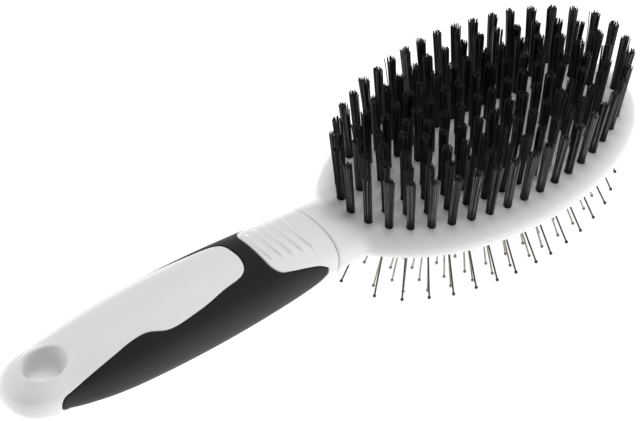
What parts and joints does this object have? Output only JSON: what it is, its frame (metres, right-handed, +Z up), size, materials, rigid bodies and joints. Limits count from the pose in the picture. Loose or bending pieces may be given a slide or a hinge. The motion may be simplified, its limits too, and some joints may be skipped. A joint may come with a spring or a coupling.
{
  "type": "bristle brush",
  "caption": "Oval double-sided pet grooming brush with bristle tufts on one face, ball-tipped pins on a sprung cushion on the other, and a two-tone grip handle.",
  "frame": {"origin": "middle of the brush's bounding box in plan, on the level of the lowest pin tips", "axes": "+X along the brush from the handle's tail to the head, +Z up through the bristle side, +Y across"},
  "size_m": [0.218, 0.0616, 0.0534],
  "materials": {
    "white_plastic": "satin white, moulded",
    "charcoal_grip": "fine matte soft-touch over-mould",
    "retainer_plastic": "plain moulded",
    "cushion_rubber": "smooth matte",
    "black_nylon": "bundled nylon filament, slight sheen",
    "pin_steel": "plain drawn steel with rounded ball tips"
  },
  "bodies": {
    "brush": {"bristle_plate": "white_plastic", "pin_side_shell": "white_plastic", "handle_core": "white_plastic", "grip_overmould": "charcoal_grip", "thumb_collar": "white_plastic", "cushion_retainer": "retainer_plastic", "tuft_row_1a": "black_nylon", "tuft_row_1b": "black_nylon", "tuft_row_1c": "black_nylon", "tuft_row_1d": "black_nylon", "tuft_row_2a": "black_nylon", "tuft_row_2b": "black_nylon", "tuft_row_2c": "black_nylon", "tuft_row_2d": "black_nylon", "tuft_row_3a": "black_nylon", "tuft_row_3b": "black_nylon", "tuft_row_3c": "black_nylon", "tuft_row_3d": "black_nylon", "tuft_row_4a": "black_nylon", "tuft_row_4b": "black_nylon", "tuft_row_5": "black_nylon"},
    "pin_pad": {"pin_cushion": "cushion_rubber", "pin_row_1a": "pin_steel", "pin_row_1b": "pin_steel", "pin_row_1c": "pin_steel", "pin_row_1d": "pin_steel", "pin_row_2a": "pin_steel", "pin_row_2b": "pin_steel", "pin_row_2c": "pin_steel", "pin_row_2d": "pin_steel", "pin_row_3a": "pin_steel", "pin_row_3b": "pin_steel", "pin_row_4a": "pin_steel", "pin_row_4b": "pin_steel", "pin_row_5": "pin_steel"}
  },
  "joints": [
    {"name": "pin_pad_press", "type": "slide", "parent": "brush", "child": "pin_pad", "axis": [0, 0, 1], "range_m": [0, 0.0025], "stiffness_N_per_m": 1200, "deforming": ["pin_cushion"]}
  ]
}
